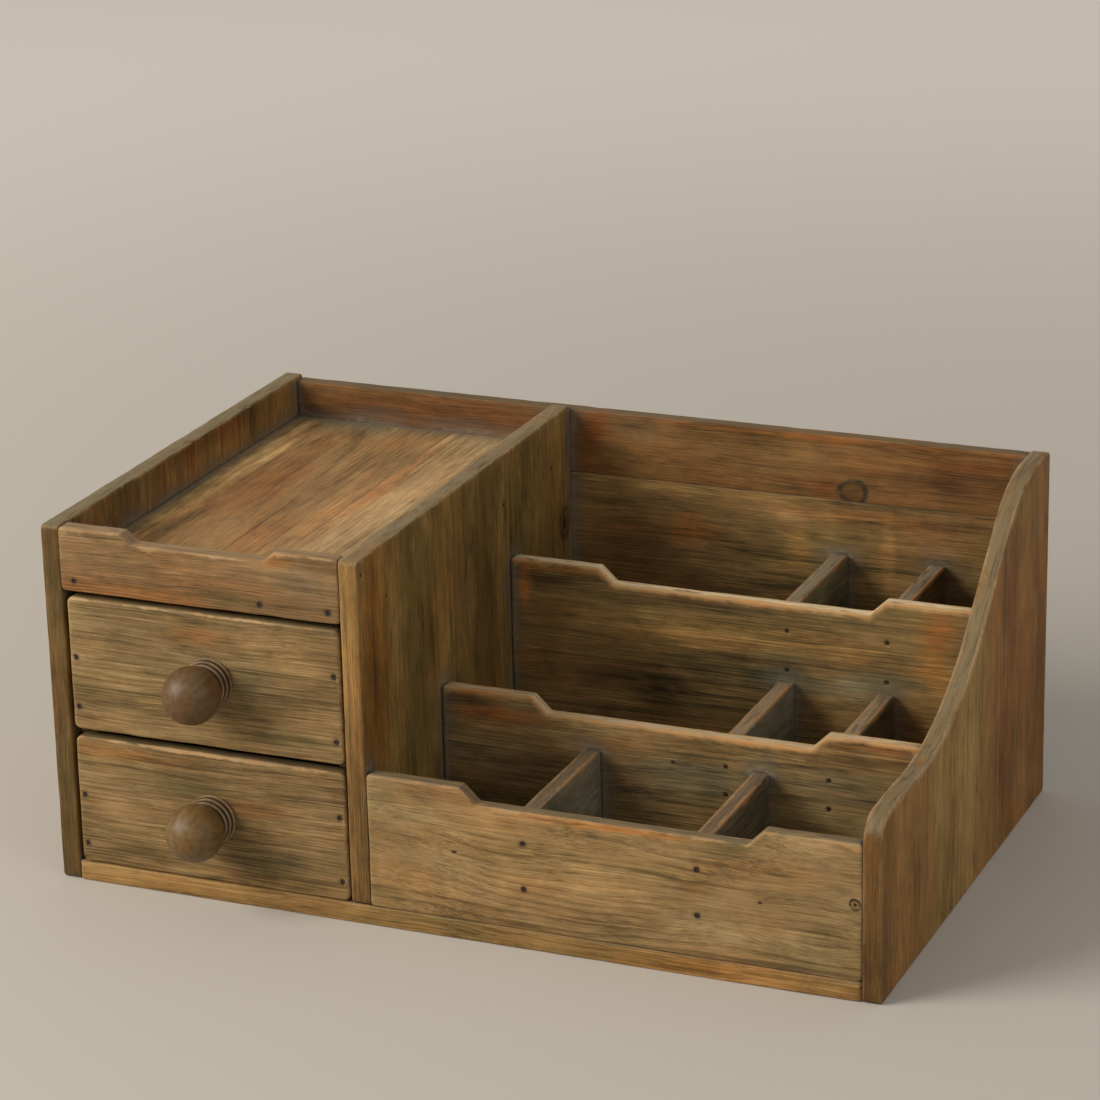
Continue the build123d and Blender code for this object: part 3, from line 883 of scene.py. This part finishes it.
LEFT_PANEL_LOOK = dict(
    palette="olive", shade=(1.26, 1.16, 1.02), stain=0.35, red=0.6, streaks=0.45,
    edge_tint=(0.62, 0.65, 0.64), rim_colour=(0.235, 0.186, 0.1),
    patches=[
        (150, 30, 9, 90, (1.55, 1.35, 1.05), 0.8),
        (163, 25, 7, 60, RUST, 0.8),
        (158, 4, 14, 3, RUST, 1.0),
        (158, 34, 14, 2.5, RUST, 1.0),
        (160, 52, 14, 3, DARKEN, 0.8),
        (158, -22, 14, 2.5, RUST, 0.9),
        (150, -70, 30, 30, DARKEN, 0.4),
    ],
)
MIDDLE_PANEL_LOOK = dict(
    palette="olive", shade=(1.3, 1.25, 1.1), stain=0.6, streaks=0.5,
    edge_tint=(1.02, 0.97, 0.98), rim_colour=(0.225, 0.172, 0.09), nail_share=0.55,
    patches=[
        (120, -104, 90, 16, ORANGE, 1.0),
        (115, -66, 90, 13, GREEN, 0.8),
        (115, -38, 90, 12, YELLOW, 0.6),
        (120, 8, 90, 15, DARKEN, 0.6),
        (130, 55, 60, 20, GREEN, 0.6),
        (130, 96, 50, 10, YELLOW, 0.5),
        (150, 40, 30, 60, PALE, 0.5),
    ],
    knots=[(109.5, 104, 7, 6, 0.7, 1.0)],
)
RIGHT_PANEL_LOOK = dict(
    palette="russet", shade=(1.25, 1.22, 0.95), edge_tint=(0.68, 0.68, 0.72), stain=0.3,
    streaks=0.28, wear=0.6, wear_width=1.5, wear_colour=(0.38, 0.275, 0.15), rim=0.9,
    rim_colour=(0.205, 0.15, 0.076),
    patches=[
        (40, -113, 140, 16, (0.78, 0.79, 0.72), 1.0),
        (50, -36, 160, 16, (1.16, 1.4, 1.62), 1.0),
        (60, 2, 160, 27, (1.32, 1.58, 1.9), 1.0),
        (95, 44, 90, 22, REDDEN, 0.5),
        (120, 52, 60, 4, DARKEN, 0.4),
        (50, 62, 160, 16, (0.78, 0.64, 0.45), 1.0),
        (50, 86, 160, 13, (0.92, 0.76, 0.54), 1.0),
        (40, 112, 160, 18, (0.76, 0.6, 0.36), 1.0),
    ],
)
BASE_LOOK = dict(
    palette="tan", shade=(0.98, 0.92, 0.8), stain=0.7, wear=0.6,
    patches=[(-20, -120, 40, 30, GREEN, 0.6), (120, -120, 60, 30, ORANGE, 0.5)],
)
BACK_LOOK = dict(streaks=0.6, red=0.6, wear=0.1)
BACK_UPPER_LOOK = dict(
    **BACK_LOOK, palette="russet", shade=(0.9, 0.86, 0.78),
    patches=[
        (-115, 150, 85, 25, (0.76, 0.59, 0.56), 0.9),
        (5, 150, 40, 14, PALE, 0.6),
        (150, 154, 30, 5, ORANGE, 0.6),
        (80, 162, 110, 3.4, (1.5, 1.12, 0.78), 0.9),
        (150, 146, 40, 9, DARKEN, 0.35),
        (-28, 158, 12, 9, (1.2, 0.78, 0.54), 0.9),
        (-32, 143, 11, 12, RUST, 0.7),
        (-9, 156, 24, 10, (0.82, 1.0, 1.32), 0.9),
        (80, 145, 45, 8, GREEN, 0.5),
        (88, 138.5, 10, 7, RUST, 0.8),
        (99.6, 137, 9, 7, (0.8, 1.0, 1.15), 1.0),
    ],
    knots=[(99.6, 137, 6.5, 5.2, 0.9, 0.0)],
)
BACK_LOWER_LOOK = dict(
    **BACK_LOOK, palette="olive", shade=(1.36, 1.28, 1.3), stain=0.4,
    patches=[
        (0, 108, 60, 15, (0.96, 0.92, 1.02), 0.9),
        (-20, 96, 40, 10, DARKEN, 0.4),
        (40, 129.5, 75, 2.4, (1.22, 1.26, 1.22), 0.8),
        (-2, 107, 20, 11, DARKEN, 0.3),
        (20, 110, 14, 9, (1.45, 1.0, 0.62), 0.9),
        (58, 115, 12, 11, (0.62, 0.68, 0.72), 0.9),
        (110, 125, 80, 5, REDDEN, 0.7),
        (74, 108, 9, 13, YELLOW, 0.9),
        (116.8, 110, 4.4, 20, YELLOW, 1.0),
        (100, 106, 9, 11, GREY, 0.5),
        (155, 100, 28, 14, GREY, 0.7),
    ],
)
TRAY_LEFT_LOOK = dict(
    palette="amber", shade=(1.02, 1.02, 1.0), streaks=0.7, red=0.5, dust_and_shade=1.0,
    patches=[
        (15, -150, 75, 15, REDDEN, 0.9),
        (-60, -120, 40, 14, ORANGE, 0.4),
        (15, -170.5, 140, 7.5, (2.6, 2.9, 3.1), 1.0),
        (0, -179, 160, 5, (1.4, 1.6, 1.7), 1.0),
        (106, -140, 16, 45, (0.82, 1.16, 1.7), 0.9),
        (-10, -103, 150, 12, (1.3, 1.34, 1.42), 0.8),
        (-36, -126.5, 50, 0.9, DARKEN, 0.9),
    ],
)
TRAY_RIGHT_LOOK = dict(
    palette="amber", shade=(1.56, 1.8, 2.2), streaks=0.7,
    patches=[
        (104, -75, 18, 32, (0.8, 0.88, 0.96), 0.9),
        (0, -100, 170, 14, (0.84, 0.76, 0.68), 1.0),
        (30, -97, 80, 6, REDDEN, 0.8),
    ],
)
TRAY_FRONT_LOOK = dict(
    palette="tan", shade=(0.8, 0.76, 0.86), rim=1.0, rim_colour=(0.28, 0.175, 0.085),
    red=0.5, stain=0.35, wear=0.5,
    patches=[
        (-150, 138, 50, 6, ORANGE, 0.9),
        (-104, 142, 20, 5, GREEN, 0.9),
        (-127, 153, 30, 8, PALE, 0.4),
        (-66, 151, 14, 10, GREY, 0.5),
        (-79, 161, 16, 4, ORANGE, 0.8),
        (-150, 152, 24, 6, GREEN, 0.6),
    ],
)
FRONT_BOARD_LOOK = dict(
    palette="tan", shade=(0.99, 1.03, 1.16), rim=1.0, rim_colour=(0.184, 0.133, 0.07),
    stain=0.25, streaks=0.7, sway=26.0, red=0.5, rings=0.35, ring_pitch=4.0,
    wear=0.5,
    patches=[
        (-33, 60, 9, 10, GREEN, 0.7),
        (50, 44, 80, 20, PALE, 0.9),
        (123, 60, 22, 6, GREEN, 0.9),
        (76, 61.8, 46, 2.6, (1.55, 1.05, 0.66), 1.0),
        (-20, 24, 30, 10, ORANGE, 0.5),
        (165, 19, 26, 9, GREEN, 0.7),
        (108, 40, 8, 4, RUST, 0.5),
    ],
    knots=[
        (178.5, 43.4, 2.3, 2.3, 1.0, 1.0),
        (0.7, 40.2, 3.2, 1.8, 0.0, 0.9),
        (137.6, 38, 2.8, 1.8, 0.0, 0.9),
    ],
)
STEP_LOOK = dict(
    palette="olive", stain=0.7, red=0.6, wear=0.95, wear_width=2.6, wear_colour=worn_gold_and_highlight,
    rim=0.95, nail_share=0.65,
)
MIDDLE_STEP_LOOK = dict(
    **STEP_LOOK, shade=(1.56, 1.68, 2.05), rim_colour=(0.56, 0.415, 0.245), streaks=0.7,
    patches=[
        (70, 55, 42, 14, (0.78, 0.92, 1.16), 1.0),
        (-20, 80.5, 30, 3, (1.7, 1.1, 0.64), 1.0),
        (-24, 76, 18, 3.5, DARKEN, 0.9),
        (-12, 71, 34, 5, (1.25, 0.78, 0.56), 1.0),
        (160, 79, 30, 4, (1.15, 0.72, 0.52), 0.9),
        (60, 66, 50, 8, ORANGE, 0.4),
        (10, 50, 40, 14, DARKEN, 0.4),
        (150, 58, 34, 10, GREY, 0.7),
        (150, 72, 40, 2, DARKEN, 0.7),
    ],
    knots=[(69.6, 59.9, 3.0, 1.8, 0.0, 0.9)],
)
REAR_STEP_LOOK = dict(
    **STEP_LOOK, shade=(1.44, 1.44, 1.54), rim_colour=(0.76, 0.6, 0.37), streaks=0.8,
    patches=[
        (-32.5, 104, 3.6, 18, (1.9, 1.2, 0.68), 1.0),
        (-20, 111, 22, 2.4, (1.5, 1.05, 0.66), 1.0),
        (-20, 106, 20, 3.5, DARKEN, 0.9),
        (70, 102.5, 95, 4.2, (0.62, 0.66, 0.72), 0.9),
        (60, 89, 90, 9, YELLOW, 0.75),
        (10, 60, 50, 12, (0.48, 0.52, 0.56), 0.6),
        (34, 58, 17, 12, DARKEN, 0.8),
        (70, 74, 40, 9, GREEN, 0.9),
        (91, 75, 27, 13, (0.6, 0.78, 1.05), 1.0),
        (121, 70, 16, 10, (1.1, 1.4, 1.9), 1.0),
        (139, 77, 20, 12, (0.6, 0.78, 1.05), 1.0),
        (164, 104, 10, 12, (1.55, 0.92, 0.55), 0.8),
        (162, 87, 10, 14, (1.45, 1.15, 0.8), 0.9),
    ],
)
DRAWER_LOOK = dict(palette="tan", stain=0.35, streaks=1.3, wear=0.6, wear_width=1.0)
UPPER_FRONT_LOOK = dict(
    **DRAWER_LOOK, shade=(0.84, 0.88, 0.96),
    patches=[
        (-118, 123, 20, 5, REDDEN, 0.9),
        # A grey patch right of the knob: partly grime, partly the knob's painted shadow
        (-92, 104, 16, 14, GREY, 0.45),
        (-75, 81, 32, 6, GREEN, 0.9),
        (-150, 95, 32, 15, PALE, 0.4),
        (-70, 115, 22, 10, PALE, 0.3),
    ],
)
LOWER_FRONT_LOOK = dict(
    **DRAWER_LOOK, shade=(0.8, 0.82, 0.88),
    patches=[
        (-155, 63.5, 36, 5, ORANGE, 0.8),
        (-126, 51, 20, 7, GREEN, 0.9),
        (-93, 46, 26, 5, RUST, 0.7),
        (-84, 21, 32, 10, GREEN, 0.8),
        (-150, 30, 30, 13, PALE, 0.4),
        (-100, 14, 30, 3, ORANGE, 0.4),
    ],
)
DIVIDER_LOOK = dict(
    palette="grey", streaks=0.7, wear=0.8, wear_width=2.0, wear_colour=(0.33, 0.205, 0.095), rim=0.95,
)
RAW_LOOK = dict(palette="raw")

BOARDS = {
    "left_panel": {**PANEL, "look": LEFT_PANEL_LOOK},
    "middle_panel": {**PANEL, "look": MIDDLE_PANEL_LOOK},
    "right_panel": {**RIGHT_PANEL, "look": RIGHT_PANEL_LOOK},
    "base_board": {**LENGTHWISE, "look": BASE_LOOK},
    "back_plank_lower": {**BACK_PLANK, "look": BACK_LOWER_LOOK},
    "back_plank_upper": {**BACK_PLANK, "look": BACK_UPPER_LOOK},
    "tray_floor_left": {**TRAY_FLOOR, "look": TRAY_LEFT_LOOK},
    "tray_floor_right": {**TRAY_FLOOR, "look": TRAY_RIGHT_LOOK},
    "tray_front": {**TRAY_FRONT, "look": TRAY_FRONT_LOOK},
    "front_board": {**STEP_BOARD, "look": FRONT_BOARD_LOOK},
    "middle_step_board": {**STEP_BOARD, "look": MIDDLE_STEP_LOOK},
    "rear_step_board": {**STEP_BOARD, "look": REAR_STEP_LOOK},
    "left_runner": {**INWARDS, "look": RAW_LOOK},
    "right_runner": {**INWARDS, "look": RAW_LOOK},
    "upper_drawer_front": {**DRAWER_FRONT, "look": UPPER_FRONT_LOOK},
    "lower_drawer_front": {**DRAWER_FRONT, "look": LOWER_FRONT_LOOK},
}
DIVIDER_ROWS = {
    "front": {"top": (0.165, 0.108, 0.06), "tint": WHITE},
    "middle": {"top": (0.28, 0.195, 0.112), "tint": WHITE},
    "rear": {"top": (0.216, 0.175, 0.116), "tint": (0.84, 0.81, 0.62)},
}
DIVIDER_SIDES = {"left": (1.3, 1.72, 2.4), "right": (0.8, 1.02, 1.25)}
for row, tones in DIVIDER_ROWS.items():
    for side, shade in DIVIDER_SIDES.items():
        look = dict(**DIVIDER_LOOK, shade=np.multiply(shade, tones["tint"]), rim_colour=tones["top"])
        BOARDS[f"{row}_divider_{side}"] = {**INWARDS, "look": look}
for drawer in ("upper_drawer", "lower_drawer"):
    for part in ("left_side", "right_side"):
        BOARDS[f"{drawer}_{part}"] = {**DRAWER_BOX, "look": RAW_LOOK}
    BOARDS[f"{drawer}_back"] = {**DRAWER_BOX, "grain": X, "look": RAW_LOOK}
    BOARDS[f"{drawer}_bottom"] = {**DRAWER_BOX, "slot": "plywood", "look": RAW_LOOK}


def body_of(node):
    """The body that a solid belongs to."""
    for body, members in frame["record"]["behaviour"]["bodies"].items():
        if node in members:
            return body
    raise KeyError(node)


def add_piece(node, kind, mesh, material, slot):
    """A piece that takes a solid's place and moves with its body."""
    mesh.materials.append(material)
    piece = bpy.data.objects.new(f"{node}_{kind}", mesh)
    bpy.context.scene.collection.objects.link(piece)
    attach(piece, body_of(node))
    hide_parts(node)


def corner_distance(points, normals, boxes):
    """Distance from each point to the nearest box that stands out in front of its face."""
    ahead = points + normals * corner_reach
    best = np.full(len(points), far_away)
    for low, high in boxes:
        beyond = np.maximum(np.maximum(low - ahead, ahead - high), 0)
        best = np.minimum(best, norm(beyond, axis=1))
    return best


def add_board(node, facts, seed):
    """One worn board in place of its solid."""
    low, high = box_mm(node)
    t = int(np.argmin(high - low))
    u, v = [a for a in range(3) if a != t]
    outline = facts.get("outline", rectangle)
    corners = outline(low[[u, v]], high[[u, v]], facts.get("corner", corner_round))
    wear = facts.get("wear", board_wear)
    mesh, points, values = board_mesh(node, corners, (u, v, t), wear, seed, facts.get("filled", ()))
    along = facts["grain"]
    across = v if along == u else u
    store(mesh, "grain", points[:, [along, across, t]])
    for name, numbers in values.items():
        store(mesh, name, numbers)
    normals = np.zeros(len(points) * 3, np.float32)
    mesh.vertices.foreach_get("normal", normals)
    body = body_of(node)
    boxes = [box_mm(other) for other in BOARDS if other != node and body_of(other) == body]
    normals = normals.reshape(-1, 3)
    store(mesh, "corner", corner_distance(points, normals, boxes))
    store(mesh, "up", np.clip(normals[:, Z], 0, 1))
    add_piece(node, "worn_and_highlighted", mesh, wood(node, seed, facts["look"]), facts["slot"])


for index, (node, facts) in enumerate(BOARDS.items()):
    add_board(node, facts, index + 1.0)


# Knobs: a ball on a neck of beads, turned about Y
knob_ball_radius = 12.75
bead_count = 3
bead_radius = 11.3
bead_taper = 0.6
bead_pitch = 2.6
bead_width = 2.0
bead_rise = 0.8
groove_radius = 8.8
knob_segments = 96
groove_lip = 0.1
bead_steps = 8
ball_steps = 40
worn_and_highlighted_steps = 3
knob_wobble = 0.12
knob_wobble_length = 7.0
knob_weld = 0.01


def knob_profile(reach):
    """Rows of a knob from its face to its tip: (radius, distance from the face, groove, crest)."""
    rows = [(0.0, 0.0, 1.0, 0.0)]
    for index in range(bead_count):
        start = index * bead_pitch
        crest = bead_radius - index * bead_taper
        for step in range(bead_steps + 1):
            share = step / bead_steps
            swell = math.sin(share * math.pi)
            radius = crest - bead_rise * (1 - swell)
            rows.append((radius, start + bead_width * share, (1 - swell) ** 3, swell))
        rows.append((groove_radius, start + bead_width + groove_lip, 1.0, 0.0))
        rows.append((groove_radius, start + bead_pitch - groove_lip, 1.0, 0.0))
    centre = reach - knob_ball_radius
    neck = bead_count * bead_pitch
    first = math.acos((neck - centre) / knob_ball_radius)
    for step in range(ball_steps + 1):
        angle = first * (1 - step / ball_steps)
        out = knob_ball_radius * math.sin(angle)
        # The ball's first rows by the neck share the crests' wear and painted highlight
        worn_and_highlighted = max(0.0, 1 - step / worn_and_highlighted_steps)
        rows.append((out, centre + knob_ball_radius * math.cos(angle), 0.0, worn_and_highlighted))
    return rows


def add_knob(node, seed, material):
    """One turned knob in place of its solid."""
    low, high = box_mm(node)
    axis = (low + high) / 2
    rows = knob_profile(high[Y] - low[Y])
    points, groove, crest, faces = [], [], [], []
    for radius, out, deep, top in rows:
        for k in range(knob_segments):
            turn = math.tau * k / knob_segments
            way = Vector((math.cos(turn), 0, math.sin(turn)))
            place = Vector((axis[X], high[Y] - out, axis[Z]))
            spot = way * knob_turn_step + Vector((0, out, 0))
            wobble = knob_wobble * wander(spot, knob_wobble_length, seed)
            points.append(place + way * max(0.0, radius - wobble))
            groove.append(deep)
            crest.append(top)
    for row in range(len(rows) - 1):
        for k in range(knob_segments):
            j = (k + 1) % knob_segments
            here, there = row * knob_segments, (row + 1) * knob_segments
            faces.append((here + k, there + k, there + j, here + j))
    mesh = bpy.data.meshes.new(node)
    mesh.from_pydata([p * MM for p in points], [], faces)
    flat = np.array(points)
    store(mesh, "grain", (flat - axis)[:, [Y, X, Z]] + seed * knob_grain_step)
    store(mesh, "groove", groove)
    store(mesh, "crest", crest)
    close_up(mesh, knob_weld)
    add_piece(node, "turned", mesh, material, "knob_wood")


KNOB_TINTS = {"upper_drawer_knob": (0.88, 0.8, 0.68), "lower_drawer_knob": (1.13, 1.15, 0.95)}
for index, (node, tint) in enumerate(KNOB_TINTS.items()):
    add_knob(node, index + 1.0, knob_material(node, tint))

# Nails and screws keep their solids
rusted_steel = steel_material()
for name, node in frame["nodes"].items():
    if name.endswith(("nails", "screw")):
        node.data.materials.clear()
        node.data.materials.append(rusted_steel)


# Floor, light and camera, in metres
floor_size = 12
floor_colour = (0.5, 0.46, 0.4)
floor_roughness = 0.85
floor_glow = {"colour": (1.0, 0.93, 0.82), "from": 0.3, "to": 1.8, "strength": 0.23}
lamp_aim = (0, 0, 0.07)
key_lamp = {"place": (-1.65, -1.45, 1.35), "size": 1.5, "power": 62, "colour": (1.0, 0.96, 0.9)}
fill_lamp = {"place": (1.8, -1.2, 1.2), "size": 1.6, "power": 8, "colour": WHITE}
sky_colour = (1.0, 0.97, 0.93)
sky_strength = 0.42
backdrop_colour = (0.6, 0.555, 0.49)


def seen_directly(tree):
    """1 on the rays that show the background: from the camera, mirrored or through glass."""
    path = tree.node("ShaderNodeLightPath").outputs
    seen = tree.math("ADD", path["Is Camera Ray"], path["Is Glossy Ray"])
    return tree.math("ADD", seen, path["Is Transmission Ray"], clamp=True)


def add_floor():
    """A pale floor, which grows paler far from the object, as a backdrop would."""
    bpy.ops.mesh.primitive_plane_add(size=floor_size)
    floor = bpy.context.object
    floor.name = "floor"
    material, tree, shader = new_material("pale_floor")
    away = tree.vector("LENGTH", tree.node("ShaderNodeTexCoord").outputs["Object"])
    far = tree.step(away, floor_glow["from"], floor_glow["to"])
    tree.feed_all(shader, {
        "Base Color": floor_colour,
        "Roughness": floor_roughness,
        "Emission Color": floor_glow["colour"],
        "Emission Strength": tree.times(far, floor_glow["strength"], seen_directly(tree)),
    })
    floor.data.materials.append(material)


def add_lamp(name, place, size, power, colour):
    """A soft round lamp, turned to the object."""
    lamp = bpy.data.lights.new(name, "AREA")
    lamp.shape = "DISK"
    lamp.size = size
    lamp.energy = power
    lamp.color = colour
    piece = bpy.data.objects.new(name, lamp)
    piece.location = place
    aim = Vector(lamp_aim) - Vector(place)
    piece.rotation_euler = aim.to_track_quat("-Z", "Y").to_euler()
    bpy.context.scene.collection.objects.link(piece)


def add_world():
    """Soft light all round, and the pale background that the camera and reflections see."""
    world = bpy.data.worlds.new("studio")
    bpy.context.scene.world = world
    world.use_nodes = True
    world.node_tree.nodes.clear()
    tree = Tree(world.node_tree)
    light = tree.node("ShaderNodeBackground")
    tree.feed_all(light.inputs, {"Color": sky_colour, "Strength": sky_strength})
    backdrop = tree.node("ShaderNodeBackground")
    tree.feed(backdrop.inputs["Color"], backdrop_colour)
    either = tree.node("ShaderNodeMixShader")
    tree.feed(either.inputs[0], seen_directly(tree))
    tree.feed(either.inputs[1], light.outputs[0])
    tree.feed(either.inputs[2], backdrop.outputs[0])
    end = tree.node("ShaderNodeOutputWorld")
    tree.feed(end.inputs["Surface"], either.outputs[0])


def add_camera():
    """The camera at the photograph's view."""
    data = bpy.data.cameras.new("photograph")
    data.lens = camera_lens
    data.sensor_width = camera_sensor
    camera = bpy.data.objects.new("photograph", data)
    turn = (
        Matrix.Rotation(camera_azimuth, 4, "Z")
        @ Matrix.Rotation(math.pi / 2 - camera_elevation, 4, "X")
        @ Matrix.Rotation(camera_roll, 4, "Z")
    )
    camera.matrix_world = Matrix.Translation(Vector(camera_place) * MM) @ turn
    bpy.context.scene.collection.objects.link(camera)
    bpy.context.scene.camera = camera


add_floor()
add_lamp("key", **key_lamp)
add_lamp("fill", **fill_lamp)
add_world()
add_camera()
bpy.context.scene.view_settings.view_transform = "Standard"
